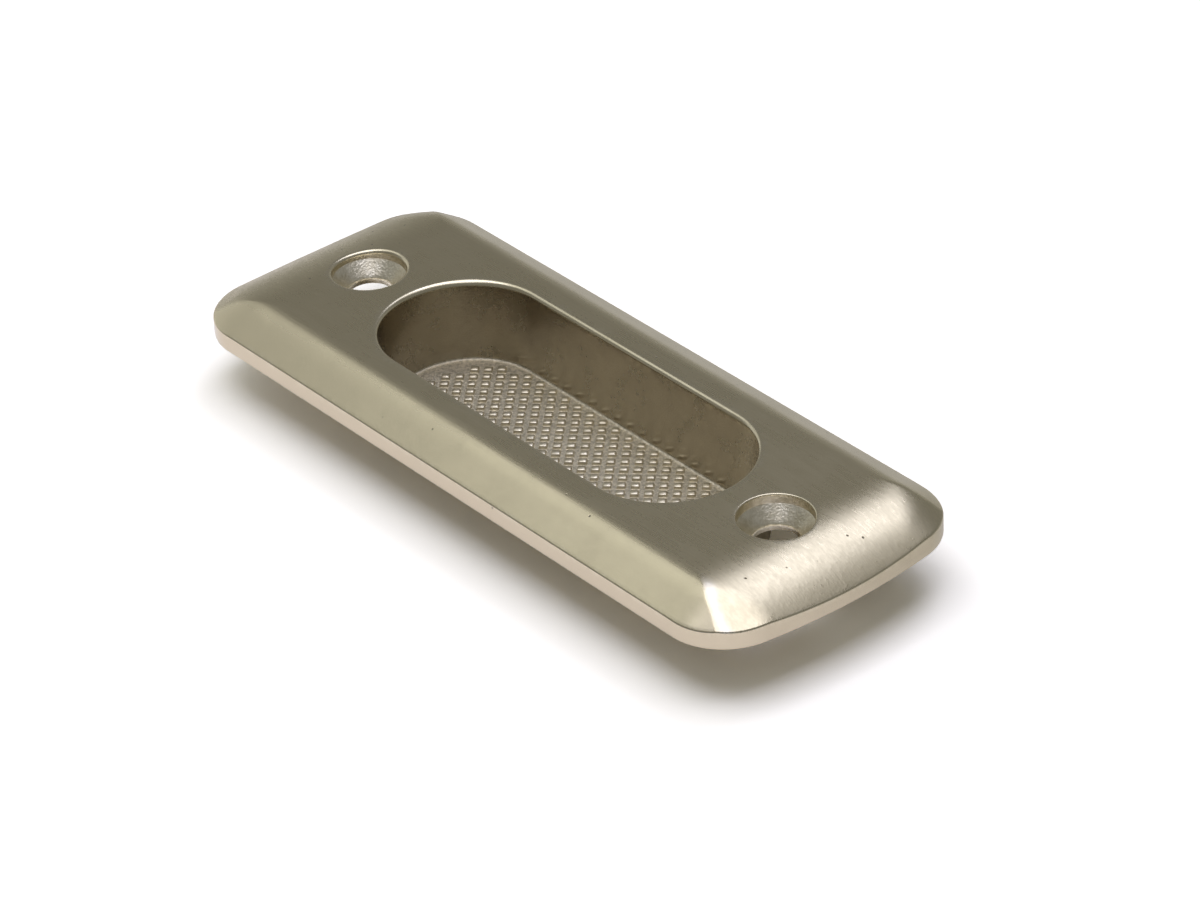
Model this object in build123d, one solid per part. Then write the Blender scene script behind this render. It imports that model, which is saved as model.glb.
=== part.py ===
from build123d import *
import os
from math import atan, degrees, radians, sqrt, tan

# Recessed pull for a sliding door or drawer, die-cast in one piece.
# X runs along the plate, Y across it and Z out of the door. The origin is the middle of the flange's
# back plane, which lies on the door's face. Sizes are millimetres and degrees.

# Flange in plan: straight long sides, ends bowed outwards, rounded corners
plate_length = 90.0
plate_width = 34.2
end_bow_radius = 73.0
corner_radius = 7.2

# Flange in section: a flat face, a planar bevel along each side and a rolled surface at each end
flange_height = 4.8
side_rim_height = 2.1
side_bevel_angle = 33.0
side_blend_radius = 2.8
end_rim_height = 1.7
end_roll_radius = 19.0
flange_wall = 1.8

# Plate corners: bevel and roll both curl down towards a corner and meet there in a crease
side_curl_start = 36.4
end_curl_start = 9.4
end_curl_angle = 26.0
curl_radius = 16.2

# Finger cup: a slot with round ends, drafted from its mouth in the flat face to its floor
cup_mouth_length = 52.2
cup_mouth_width = 18.8
cup_depth = 9.4
cup_draft_angle = 5.5
cup_wall = 1.8
cup_lip_radius = 0.6
cup_floor_radius = 0.3
cup_base_radius = 1.6

# Screw seats: a shallow round recess, a cone for the screw's head and a plain hole, each in a boss
screw_spacing = 67.0
head_recess_diameter = 8.1
head_recess_depth = 1.1
countersink_angle = 90.0
screw_hole_diameter = 4.9
hole_depth = 0.6
seat_chamfer = 0.4
boss_wall = 1.7

# Grip studs on the cup floor: square frusta on a square lattice, both turned by 45 degrees
stud_pitch = 1.5
stud_base = 1.0
stud_top = 0.66
stud_height = 0.35
stud_side_gap = 0.05
stud_end_gap = 1.2

# Levels along Z and places along X that follow from the sizes above
cup_floor_level = flange_height - cup_depth
cup_floor_inset = cup_depth * tan(radians(cup_draft_angle))
end_drop = flange_height - end_rim_height
end_roll_start = plate_length / 2 - sqrt(end_roll_radius**2 - (end_roll_radius - end_drop) ** 2)
head_seat_level = flange_height - head_recess_depth
cone_depth = (head_recess_diameter - screw_hole_diameter) / 2 / tan(radians(countersink_angle / 2))
boss_back_level = head_seat_level - cone_depth - hole_depth
screw_places = [Rot(0, 0, turn) * Pos(screw_spacing / 2, 0) for turn in (0, 180)]


def bowed_outline(length, width, bow_radius, radius):
    """Face in the XY plane: a rectangle with arcs for its short ends and rounded corners."""
    corner = length / 2 - bow_radius + sqrt(bow_radius**2 - width**2 / 4)
    far_side = Line((-corner, width / 2), (corner, width / 2))
    near_side = Line((-corner, -width / 2), (corner, -width / 2))
    right_end = ThreePointArc(far_side @ 1, (length / 2, 0), near_side @ 1)
    left_end = ThreePointArc(far_side @ 0, (-length / 2, 0), near_side @ 0)
    outline = make_face([far_side, right_end, near_side, left_end])
    return fillet(outline.vertices(), radius)


def side_section(inset):
    """Bar along X with the flat face and both side bevels, each moved inwards by inset."""
    slope = tan(radians(side_bevel_angle))
    top = flange_height - inset
    flat_half = plate_width / 2 - (flange_height - side_rim_height) / slope
    flat_half -= inset * tan(radians(side_bevel_angle / 2))
    foot_half = flat_half + (top + flange_height) / slope
    section = Polygon(
        (-foot_half, -flange_height), (foot_half, -flange_height), (flat_half, top), (-flat_half, top),
        align=None,
    )
    section = fillet(section.vertices().sort_by(Axis.Y)[-2:], side_blend_radius)
    return extrude(Plane.YZ * section, amount=plate_length, both=True)


def end_section(inset):
    """Bar along Y with the flat face and both rolled ends, each moved inwards by inset."""
    radius = end_roll_radius - inset
    section = RectangleRounded(2 * (end_roll_start + radius), 3 * radius, radius)
    section = Pos(0, flange_height - inset - 1.5 * radius) * section
    return extrude(Plane.XZ * section, amount=plate_width, both=True)


def curled_bar(plane, start, inset):
    """Long bar drawn on plane, its level top moved down by inset and curling down beyond start."""
    radius = curl_radius - inset
    section = RectangleRounded(2 * (start + radius), 2 * plate_length, radius)
    section = Pos(0, -inset - plate_length) * section
    return extrude(plane * section, amount=2 * plate_length, both=True)


def corner_bars(inset):
    """Bars in the slope of each bevel and each roll that take down the plate's corners."""
    along_bevel = Pos(0, plate_width / 2, side_rim_height) * Rot(-side_bevel_angle, 0, 0)
    roll_axis = Pos(end_roll_start, 0, flange_height - end_roll_radius)
    along_roll = roll_axis * Rot(0, end_curl_angle, 0) * Pos(0, 0, end_roll_radius)
    side_bar = along_bevel * curled_bar(Plane.XZ, side_curl_start, inset)
    end_bar = along_roll * curled_bar(Plane.YZ, end_curl_start, inset)
    half_turn = Rot(0, 0, 180)
    return [side_bar, half_turn * side_bar, end_bar, half_turn * end_bar]


def crown(inset):
    """Flange block with every outer face moved inwards by inset, open towards the back."""
    outline = bowed_outline(
        plate_length - 2 * inset, plate_width - 2 * inset, end_bow_radius - inset, corner_radius - inset
    )
    block = Pos(0, 0, -inset) * extrude(outline, amount=flange_height)
    for bar in [side_section(inset), end_section(inset), *corner_bars(inset)]:
        block &= bar
    return block


def cup(shell, floor_radius):
    """Drafted cup with a rounded floor edge, thickened outwards and downwards by shell."""
    floor_level = cup_floor_level - shell
    floor_reach = cup_mouth_width / 2 - cup_floor_inset + shell
    mouth_reach = floor_reach + (flange_height - floor_level) * tan(radians(cup_draft_angle))
    section = make_face(Polyline(
        (0, floor_level), (floor_reach, floor_level), (mouth_reach, flange_height), (0, flange_height),
        close=True,
    ))
    floor_corner = section.vertices().sort_by_distance((floor_reach, floor_level))[0]
    section = fillet(floor_corner, floor_radius)
    end_centre = (cup_mouth_length - cup_mouth_width) / 2
    middle = extrude(Plane.YZ * (section + mirror(section, Plane.YZ)), amount=end_centre, both=True)
    end = Pos(end_centre, 0) * Rot(0, 0, -90) * revolve(Plane.XZ * section, Axis.Z, 180)
    return middle + end + Rot(0, 0, 180) * end


def screw_seat():
    """Space that a countersunk screw takes up on the Z axis, with a chamfered lip in the flat face."""
    hole_radius = screw_hole_diameter / 2
    head_radius = head_recess_diameter / 2
    lip_radius = head_radius + seat_chamfer
    profile = Polyline(
        (0, -flange_height), (hole_radius, -flange_height), (hole_radius, boss_back_level + hole_depth),
        (head_radius, head_seat_level), (head_radius, flange_height - seat_chamfer),
        (lip_radius, flange_height), (lip_radius, 2 * flange_height), (0, 2 * flange_height), close=True,
    )
    return revolve(Plane.XZ * make_face(profile), Axis.Z)


def studs():
    """Grip studs on the cup floor, those that stay clear of its rounded edge by the gaps."""
    reach = stud_base / sqrt(2)
    edge = cup_floor_inset + cup_floor_radius
    floor_length = cup_mouth_length - 2 * edge
    floor_width = cup_mouth_width - 2 * edge
    field = SlotOverall(
        floor_length - 2 * (stud_end_gap + reach), floor_width - 2 * (stud_side_gap + reach)
    ).face()
    draft = (stud_base - stud_top) / 2 / stud_height
    # Each stud starts one stud height below the floor, so that it is rooted in it
    foot = stud_base + 2 * draft * stud_height
    stud = extrude(Rectangle(foot, foot), amount=2 * stud_height, taper=degrees(atan(draft)))
    step = stud_pitch / sqrt(2)
    columns = int(floor_length / 2 / step)
    rows = int(floor_width / 2 / step)
    places = [
        Pos(column * step, row * step, cup_floor_level - stud_height) * Rot(0, 0, 45)
        for column in range(-columns, columns + 1)
        for row in range(-rows, rows + 1)
        if (column + row) % 2 == 0 and field.is_inside((column * step, row * step, 0))
    ]
    return [place * stud for place in places]


def screw_bosses():
    """Round bosses behind the screw seats, each joined to the cup's wall by a web of its own width."""
    radius = head_recess_diameter / 2 + boss_wall
    section = Circle(radius) + Pos(-radius, 0) * Rectangle(2 * radius, 2 * radius)
    return screw_places * extrude(Pos(0, 0, boss_back_level) * section, amount=flange_height)


def casting():
    """The whole pull as one solid."""
    cup_space = cup(0, cup_floor_radius)
    cup_block = cup(cup_wall, cup_base_radius)
    hollow = crown(flange_wall) - cup_block - screw_bosses()
    body = crown(0) + cup_block - hollow - cup_space - screw_places * screw_seat()
    face_edges = body.edges().group_by(Axis.Z)[-1]
    mouth = SlotOverall(cup_mouth_length + cup_lip_radius, cup_mouth_width + cup_lip_radius).face()
    lip = [edge for edge in face_edges if mouth.is_inside((edge.center().X, edge.center().Y, 0))]
    return fillet(lip, cup_lip_radius) + studs()


body = casting()
os.makedirs("parts", exist_ok=True)
export_step(body, "parts/recessed_handle.step")
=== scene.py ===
import logging
from collections.abc import Callable
from dataclasses import dataclass
from enum import IntEnum
from math import asin, cos, pi, radians, sin, sqrt, tan
from typing import Any

import bmesh
import bpy
import numpy as np
from mathutils import Matrix, Vector
from mathutils.geometry import delaunay_2d_cdt
from mathutils.kdtree import KDTree


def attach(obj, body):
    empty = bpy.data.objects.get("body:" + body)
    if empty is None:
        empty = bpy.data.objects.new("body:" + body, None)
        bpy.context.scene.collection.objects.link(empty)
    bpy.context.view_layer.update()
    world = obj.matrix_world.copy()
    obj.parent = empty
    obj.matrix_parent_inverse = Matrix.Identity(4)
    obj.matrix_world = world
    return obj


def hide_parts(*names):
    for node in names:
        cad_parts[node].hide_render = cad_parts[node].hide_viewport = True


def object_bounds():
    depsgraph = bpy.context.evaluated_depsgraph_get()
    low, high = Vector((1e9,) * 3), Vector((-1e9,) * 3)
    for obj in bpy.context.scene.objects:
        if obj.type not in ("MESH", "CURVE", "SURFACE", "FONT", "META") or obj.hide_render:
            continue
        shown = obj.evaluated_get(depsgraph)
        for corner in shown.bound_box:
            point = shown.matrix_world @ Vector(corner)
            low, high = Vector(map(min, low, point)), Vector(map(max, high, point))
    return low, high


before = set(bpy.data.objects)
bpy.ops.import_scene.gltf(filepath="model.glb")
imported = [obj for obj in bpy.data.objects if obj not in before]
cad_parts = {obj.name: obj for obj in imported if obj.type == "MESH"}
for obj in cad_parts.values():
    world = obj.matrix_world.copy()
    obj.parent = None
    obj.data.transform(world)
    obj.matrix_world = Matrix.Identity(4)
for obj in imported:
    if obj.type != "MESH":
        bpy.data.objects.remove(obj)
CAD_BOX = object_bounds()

LOG = logging.getLogger("recessed_handle")
MM = 0.001
NODE = "recessed_handle"
BODY = "root"
# Level of the flat face above the back plane and distance of the screws from the middle, in millimetres
FACE_LEVEL = 4.8
SCREW_PLACE = 33.5
# Share of its radius at which a curled surface stops short of the vertical
CURL_LIMIT = 0.98
Array = np.ndarray
Height = Callable[[Array, Array], Array]
Colour = tuple[float, float, float]


class Zone(IntEnum):
    """Parts of the casting that have a finish of their own, in the order of the material slots."""

    CROWN = 0
    RIM = 1
    CUP = 2
    FLOOR = 3
    SEAT = 4
    BACK = 5


@dataclass(frozen=True)
class Loop:
    """Closed curve in plan: points in order with their outward unit normals, in millimetres."""

    points: Array
    normals: Array

    def offset(self, distance: float | Array) -> Array:
        """Moves the curve outwards.

        Args:
            distance: One distance for the whole curve or one for each point.

        Returns:
            The moved points.
        """
        return self.points + np.reshape(distance, (-1, 1)) * self.normals

    def row(self, distance: float | Array, height: float | Array) -> Array:
        """Moves the curve outwards and lifts it.

        Args:
            distance: Outward distance, one or one for each point.
            height: Level along Z, one or one for each point.

        Returns:
            The points in space.
        """
        plan = self.offset(distance)
        return np.column_stack([plan, np.broadcast_to(height, len(plan))])


def arc(centre: tuple[float, float], radius: float, start: float, stop: float, steps: int) -> Loop:
    """Samples an arc without its last point.

    Args:
        centre: Centre in plan.
        radius: Radius in millimetres.
        start: First angle in degrees.
        stop: Last angle in degrees.
        steps: Number of points.

    Returns:
        The arc as a piece of a loop.
    """
    angle = np.radians(np.linspace(start, stop, steps, endpoint=False))
    normals = np.column_stack([np.cos(angle), np.sin(angle)])
    return Loop(np.array(centre) + radius * normals, normals)


def line(start: tuple[float, float], stop: tuple[float, float], steps: int) -> Loop:
    """Samples a straight run without its last point, with normals on its right-hand side.

    Args:
        start: First point in plan.
        stop: Last point in plan.
        steps: Number of points.

    Returns:
        The run as a piece of a loop.
    """
    share = np.linspace(0, 1, steps, endpoint=False).reshape(-1, 1)
    run = np.subtract(stop, start)
    normal = np.array([run[1], -run[0]]) / np.hypot(*run)
    return Loop(np.array(start) + share * run, np.tile(normal, (steps, 1)))


def joined(*pieces: Loop) -> Loop:
    """Joins arcs and runs into one loop."""
    return Loop(np.vstack([p.points for p in pieces]), np.vstack([p.normals for p in pieces]))


def inside_loop(points: Array, loop: Array) -> Array:
    """Even-odd test of points against a closed loop.

    Args:
        points: Points in plan.
        loop: The loop's points.

    Returns:
        True for each point inside the loop.
    """
    odd = np.zeros(len(points), bool)
    x, y = points.T
    for (x0, y0), (x1, y1) in zip(loop, np.roll(loop, -1, axis=0)):
        if y0 != y1:
            odd ^= ((y0 > y) != (y1 > y)) & (x < (x1 - x0) * (y - y0) / (y1 - y0) + x0)
    return odd


def inside_area(points: Array, loops: list[Array]) -> Array:
    """Tests points against a plan area.

    Args:
        points: Points in plan.
        loops: The outer loop and then its holes.

    Returns:
        True for each point inside the outer loop and outside the holes.
    """
    keep = inside_loop(points, loops[0])
    for hole in loops[1:]:
        keep &= ~inside_loop(points, hole)
    return keep


def level_face(level: float) -> Height:
    """Level surface as a function of X and Y."""
    return lambda x, y: np.full_like(x, level)


def linked(name: str, data: bpy.types.ID) -> bpy.types.Object:
    """Adds an object at the origin.

    Args:
        name: The object's name.
        data: Its mesh, lamp or camera.

    Returns:
        The object.
    """
    thing = bpy.data.objects.new(name, data)
    bpy.context.collection.objects.link(thing)
    return thing


def smooth(mesh: bpy.types.Mesh, sharp_angle: float) -> None:
    """Shades a mesh smooth, apart from its edges past an angle in degrees."""
    mesh.shade_smooth()
    mesh.set_sharp_from_angle(angle=radians(sharp_angle))


def filling(loops: list[Array], step_x: float, step_y: float, clearance: float,
            placed: Array | None = None) -> Array:
    """Spreads points over a plan area, in rows that are set off by half a step.

    Args:
        loops: The outer loop and then its holes.
        step_x: Distance between points of a row.
        step_y: Distance between rows.
        clearance: Least distance from a point to the loops and to the placed points.
        placed: Points of the area that are there already.

    Returns:
        The points in plan, the placed ones first.
    """
    given = np.empty((0, 2)) if placed is None else placed
    low, high = loops[0].min(axis=0), loops[0].max(axis=0)
    columns = np.arange(low[0], high[0], step_x)
    rows = np.arange(low[1], high[1], step_y)
    shift = np.where(np.arange(len(rows)) % 2, step_x / 2, 0)
    grid = np.array([(x + s, y) for y, s in zip(rows, shift) for x in columns])
    keep = inside_area(grid, loops)
    edge = np.vstack([*loops, given])
    tree = KDTree(len(edge))
    for number, (x, y) in enumerate(edge):
        tree.insert((x, y, 0), number)
    tree.balance()
    clear = [p for p in grid[keep] if tree.find((p[0], p[1], 0))[2] > clearance]
    return np.vstack([given, *clear])


class Skin:
    """Faces of the casting as they are gathered, in millimetres, each in its zone."""

    def __init__(self) -> None:
        """Starts empty."""
        self.points: list[Array] = []
        self.wear: list[Array] = []
        self.faces: list[tuple[int, ...]] = []
        self.zones: list[int] = []
        self.count = 0

    def _store(self, points: Array, wear: float) -> int:
        """Keeps points with their edge wear.

        Args:
            points: The points in space.
            wear: Edge wear of the points, from 0 to 1.

        Returns:
            The number of the first point.
        """
        first = self.count
        self.points.append(points)
        self.wear.append(np.full(len(points), wear))
        self.count += len(points)
        return first

    def strip(self, rows: list[Array], zone: Zone, wear: float = 0.0) -> None:
        """Joins closed rows of the same length with four-sided faces.

        Args:
            rows: The rows in order.
            zone: The zone of the faces.
            wear: Edge wear of the points, from 0 to 1.
        """
        starts = [self._store(row, wear) for row in rows]
        count = len(rows[0])
        for a, b in zip(starts, starts[1:]):
            for i in range(count):
                j = (i + 1) % count
                self.faces.append((a + i, a + j, b + j, b + i))
                self.zones.append(zone)

    def sheet(self, loops: list[Array], inner: Array, height: Height, zone: Zone) -> None:
        """Fills a plan area with triangles and lifts it.

        Args:
            loops: The outer loop and then its holes.
            inner: Further points of the area.
            height: Level along Z as a function of X and Y.
            zone: The zone of the faces.
        """
        tolerance = 1e-7
        edges = []
        first = 0
        for loop in loops:
            count = len(loop)
            edges += [(first + i, first + (i + 1) % count) for i in range(count)]
            first += count
        plan = np.vstack([*loops, inner]).tolist()
        plan = [Vector(point) for point in plan]
        corners, _, triangles, *_ = delaunay_2d_cdt(plan, edges, [], 0, tolerance)
        flat = np.array([tuple(corner) for corner in corners])
        middles = flat[np.array(triangles)].mean(axis=1)
        keep = inside_area(middles, loops)
        start = self._store(np.column_stack([flat, height(flat[:, 0], flat[:, 1])]), 0.0)
        for triangle, kept in zip(triangles, keep):
            if kept:
                self.faces.append(tuple(start + corner for corner in triangle))
                self.zones.append(zone)

    def mesh(self, name: str, weld: float, sharp_angle: float) -> bpy.types.Mesh:
        """Makes the gathered faces one closed mesh with outward normals.

        Args:
            name: The mesh's name.
            weld: Distance in millimetres below which points are merged.
            sharp_angle: Angle in degrees past which an edge is shaded sharp.

        Returns:
            The mesh in metres.
        """
        mesh = bpy.data.meshes.new(name)
        mesh.from_pydata((np.vstack(self.points) * MM).tolist(), [], self.faces)
        mesh.polygons.foreach_set("material_index", self.zones)
        layer = mesh.attributes.new("edge_wear", "FLOAT", "POINT")
        layer.data.foreach_set("value", np.concatenate(self.wear))
        work = bmesh.new()
        work.from_mesh(mesh)
        bmesh.ops.remove_doubles(work, verts=work.verts, dist=weld * MM)
        loose = [vert for vert in work.verts if not vert.link_faces]
        bmesh.ops.delete(work, geom=loose, context="VERTS")
        bmesh.ops.recalc_face_normals(work, faces=work.faces)
        open_edges = sum(not edge.is_manifold for edge in work.edges)
        work.to_mesh(mesh)
        work.free()
        smooth(mesh, sharp_angle)
        LOG.info("%s: %d faces, %d open edges", name, len(mesh.polygons), open_edges)
        return mesh


def soft_min(first: Height, second: Height, radius: float | Height) -> Height:
    """Lower of two surfaces, with the crease between them rounded.

    Args:
        first: Level of one surface.
        second: Level of the other surface.
        radius: Radius of the rounding in millimetres, one or one for each place in plan.

    Returns:
        The level of the joined surface.
    """
    step = 0.01
    least_reach = 1e-9

    def level(x: Array, y: Array) -> Array:
        """Level of the joined surface.

        Args:
            x: Places along X.
            y: Places along Y.

        Returns:
            The levels along Z.
        """
        gap = first(x, y) - second(x, y)
        slope_x = (first(x + step, y) - second(x + step, y) - gap) / step
        slope_y = (first(x, y + step) - second(x, y + step) - gap) / step
        size = radius(x, y) if callable(radius) else radius
        reach = np.maximum(size * (slope_x**2 + slope_y**2) / 2, least_reach)
        over = np.maximum(reach - np.abs(gap), 0)
        return np.minimum(first(x, y), second(x, y)) - over**2 / (4 * reach)

    return level


@dataclass(frozen=True)
class Flange:
    """The plate: its outline, the flat face, the side bevels, the rolled ends and the curled corners."""

    # Sizes of the solid
    length: float = 90.0
    width: float = 34.2
    bow_radius: float = 73.0
    corner_radius: float = 7.2
    height: float = FACE_LEVEL
    side_rim: float = 2.1
    bevel_angle: float = 33.0
    end_rim: float = 1.7
    roll_radius: float = 19.0
    side_curl_start: float = 36.4
    end_curl_start: float = 9.4
    end_curl_angle: float = 26.0
    curl_radius: float = 16.2
    wall: float = 1.8
    # Rounded edges and wear, which the solid has sharper
    blend_radius: float = 4.0
    rim_edge_radius: float = 0.28
    back_edge_radius: float = 0.2
    crease_radius: float = 0.45
    rubbed_crease_radius: float = 2.6
    worn_crease_radius: float = 5.5
    curl_blend_radius: float = 12.0
    # Points and rows of the mesh
    end_points: int = 52
    corner_points: int = 72
    side_points: int = 128
    crease_points: int = 90
    crease_rows: tuple[float, ...] = (-0.5, -0.3, -0.15, 0.0, 0.15, 0.3, 0.5)
    rim_insets: tuple[float, ...] = (0.9, 0.6, 0.42)
    edge_rows: int = 7
    band_rows: int = 5
    back_edge_rows: int = 4

    @property
    def roll_start(self) -> float:
        """Distance from the middle at which the ends begin to roll down."""
        drop = self.height - self.end_rim
        return self.length / 2 - sqrt(self.roll_radius**2 - (self.roll_radius - drop) ** 2)

    def outline(self) -> Loop:
        """Draws the outline of the plate.

        Returns:
            The outline, anticlockwise from the right end.
        """
        bow = self.length / 2 - self.bow_radius
        corner_y = self.width / 2 - self.corner_radius
        reach = self.bow_radius - self.corner_radius
        corner_x = bow + sqrt(reach**2 - corner_y**2)
        turn = np.degrees(asin(corner_y / reach))
        half = self.width / 2
        size = self.corner_radius
        bends, sides, ends = self.corner_points, self.side_points, self.end_points
        return joined(
            arc((bow, 0), self.bow_radius, -turn, turn, ends),
            arc((corner_x, corner_y), size, turn, 90, bends),
            line((corner_x, half), (-corner_x, half), sides),
            arc((-corner_x, corner_y), size, 90, 180 - turn, bends),
            arc((-bow, 0), self.bow_radius, 180 - turn, 180 + turn, ends),
            arc((-corner_x, -corner_y), size, 180 + turn, 270, bends),
            line((-corner_x, -half), (corner_x, -half), sides),
            arc((corner_x, -corner_y), size, 270, 360 - turn, bends),
        )

    def _curl(self, along: Array, start: float, inset: float) -> Array:
        """Lets a surface curl down past a place.

        Args:
            along: Places along the surface.
            start: Distance from the middle at which the curl starts.
            inset: Distance by which the surface is moved into the metal.

        Returns:
            The drop, square to the surface.
        """
        radius = self.curl_radius - inset
        past = np.clip(np.abs(along) - start, 0, CURL_LIMIT * radius)
        return radius - np.sqrt(radius**2 - past**2)

    def surfaces(self, inset: float = 0.0) -> tuple[Height, Height]:
        """Surfaces that bound the plate from above, or its hollow back.

        Args:
            inset: Distance by which each surface is moved into the metal.

        Returns:
            The levels along Z of the sides and of the ends, as functions of X and Y.
        """
        bevel = radians(self.bevel_angle)
        tilt = radians(self.end_curl_angle)
        roll = self.roll_radius - inset
        roll_level = self.height - self.roll_radius

        def face(x: Array, y: Array) -> Array:
            """Flat face."""
            return np.full_like(x, self.height - inset)

        def side(x: Array, y: Array) -> Array:
            """Bevels that curl down towards the plate's ends."""
            drop = inset + self._curl(x, self.side_curl_start, inset)
            return self.side_rim - (np.abs(y) - self.width / 2) * tan(bevel) - drop / cos(bevel)

        def end(x: Array, y: Array) -> Array:
            """Flat face and rolled ends."""
            past = np.clip(np.abs(x) - self.roll_start, 0, CURL_LIMIT * roll)
            return roll_level + np.sqrt(roll**2 - past**2)

        def end_corner(x: Array, y: Array) -> Array:
            """Plane on the roll that curls down towards the plate's sides.

            Args:
                x: Places along X.
                y: Places along Y.

            Returns:
                The levels along Z.
            """
            drop = self._curl(y, self.end_curl_start, inset) / cos(tilt)
            touch = self.roll_start + roll * sin(tilt)
            return roll_level + roll * cos(tilt) - (np.abs(x) - touch) * tan(tilt) - drop

        return (
            soft_min(face, side, self.blend_radius),
            soft_min(end, end_corner, self.curl_blend_radius),
        )

    def _crease(self, x: Array, y: Array) -> Array:
        """Radius of the creases: crisp at the right near corner, rubbed round at the others."""
        near = np.where(x > 0, self.crease_radius, self.worn_crease_radius)
        return np.where(y < 0, near, self.rubbed_crease_radius)

    def surface(self, inset: float = 0.0) -> Height:
        """Upper surface of the plate, or the ceiling of its hollow back.

        Args:
            inset: Distance by which each surface is moved into the metal.

        Returns:
            The level along Z as a function of X and Y.
        """
        sides, ends = self.surfaces(inset)
        return soft_min(sides, ends, self._crease)

    def along_creases(self, border: Array) -> Array:
        """Closely set points along the creases at the four corners.

        Args:
            border: Loop that the points stay inside.

        Returns:
            The points in plan.
        """
        halvings = 40
        sides, ends = self.surfaces()
        x = np.linspace(self.roll_start + 1, self.length / 2, self.crease_points)
        low = np.full_like(x, self.width / 4)
        high = np.full_like(x, self.width / 2)
        for _ in range(halvings):
            y = (low + high) / 2
            above = sides(x, y) > ends(x, y)
            low = np.where(above, y, low)
            high = np.where(above, high, y)
        line_y = (low + high) / 2
        quarter = np.vstack([np.column_stack([x, line_y + shift]) for shift in self.crease_rows])
        points = np.vstack([quarter * (sx, sy) for sx in (1, -1) for sy in (1, -1)])
        return points[inside_loop(points, border)]

    def rim_rows(self, loop: Loop) -> tuple[list[Array], list[Array]]:
        """Rows of the rounded rim edge and of the rim itself.

        Args:
            loop: The plate's outline.

        Returns:
            The rows from the upper surface down to the rim, and the rows of the rim down to the back.
        """
        surface = self.surface()
        radius = self.rim_edge_radius
        near, far = 0.35, 0.6
        steepest = 3

        def level(inset: float) -> Array:
            """Level of the upper surface along the outline moved inwards."""
            plan = loop.offset(-inset)
            return surface(plan[:, 0], plan[:, 1])

        slope = np.clip((level(far) - level(near)) / (far - near), 0, steepest)
        edge = level(near) - near * slope
        centre = edge + radius * slope - radius * np.sqrt(1 + slope**2)
        quarter = pi / 2 - np.arctan(slope)
        upper = [loop.row(-inset, level(inset)) for inset in self.rim_insets]
        for share in np.linspace(1, 0, self.edge_rows):
            turn = share * quarter
            upper.append(loop.row(-radius * (1 - np.cos(turn)), centre + radius * np.sin(turn)))
        base = self.back_edge_radius
        shares = np.linspace(0, 1, self.band_rows)
        band = [loop.row(0, centre + share * (base - centre)) for share in shares]
        for turn in np.linspace(0, pi / 2, self.back_edge_rows)[1:]:
            band.append(loop.row(-base * (1 - cos(turn)), base * (1 - sin(turn))))
        return upper, band


@dataclass(frozen=True)
class FingerCup:
    """Slot with round ends that is sunk in the plate: lip, drafted wall, floor and outside."""

    mouth_length: float = 52.2
    mouth_width: float = 18.8
    depth: float = 9.4
    draft_angle: float = 5.5
    wall: float = 1.8
    lip_radius: float = 0.4
    rubbed_lip_radius: float = 0.68
    floor_radius: float = 0.3
    base_radius: float = 1.6
    top: float = FACE_LEVEL
    # Direction in plan in which the lip is rubbed rounder
    rubbed_towards: tuple[float, float] = (-0.8, 0.6)
    # Points and rows of the mesh, and level strips beyond the lip and the foot
    end_points: int = 88
    side_points: int = 60
    lip_rows: int = 9
    wall_rows: int = 14
    foot_rows: int = 6
    lip_margin: float = 0.3
    foot_margin: float = 0.25

    @property
    def half_run(self) -> float:
        """Half the length of the slot's straight sides."""
        return (self.mouth_length - self.mouth_width) / 2

    @property
    def floor(self) -> float:
        """Level of the cup's floor."""
        return self.top - self.depth

    def loop(self) -> Loop:
        """Draws the middle line of the slot as a loop without width.

        Returns:
            The loop, anticlockwise from the right end.
        """
        half = self.half_run
        return joined(
            arc((half, 0), 0, -90, 90, self.end_points),
            line((half, 0), (-half, 0), self.side_points),
            arc((-half, 0), 0, 90, 270, self.end_points),
            line((-half, 0), (half, 0), self.side_points),
        )

    def reach(self, level: float | Array) -> float | Array:
        """Half width of the inside at a level."""
        return self.mouth_width / 2 - (self.top - level) * tan(radians(self.draft_angle))

    def inner_rows(self) -> tuple[list[Array], list[Array], list[Array]]:
        """Rows of the cup's inside, with a lip that is rubbed rounder on the far left.

        Returns:
            The rows of the lip, of the wall and of its rounded foot.
        """
        draft = radians(self.draft_angle)
        loop = self.loop()
        rub_x, rub_y = self.rubbed_towards
        rubbed = np.clip(rub_y * loop.normals[:, 1] + rub_x * loop.normals[:, 0], 0, 1)
        size = self.lip_radius + rubbed * (self.rubbed_lip_radius - self.lip_radius)
        centre = self.reach(self.top - size) + size / cos(draft)
        lip = [loop.row(centre + self.lip_margin, self.top)]
        for turn in np.linspace(pi / 2, draft, self.lip_rows):
            lip.append(loop.row(centre - size * cos(turn), self.top - size + size * sin(turn)))
        foot_size = self.floor_radius
        foot = self.floor + foot_size
        foot_centre = self.reach(foot) - foot_size / cos(draft)
        levels = np.linspace(
            self.top - size * (1 - sin(draft)), foot - foot_size * sin(draft), self.wall_rows
        )
        wall = [loop.row(self.reach(level), level) for level in levels]
        rounded = [wall[-1]]
        for turn in np.linspace(draft, pi / 2, self.foot_rows)[1:]:
            rounded.append(loop.row(foot_centre + foot_size * cos(turn), foot - foot_size * sin(turn)))
        rounded.append(loop.row(foot_centre - self.foot_margin, self.floor))
        return lip, wall, rounded


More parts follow.
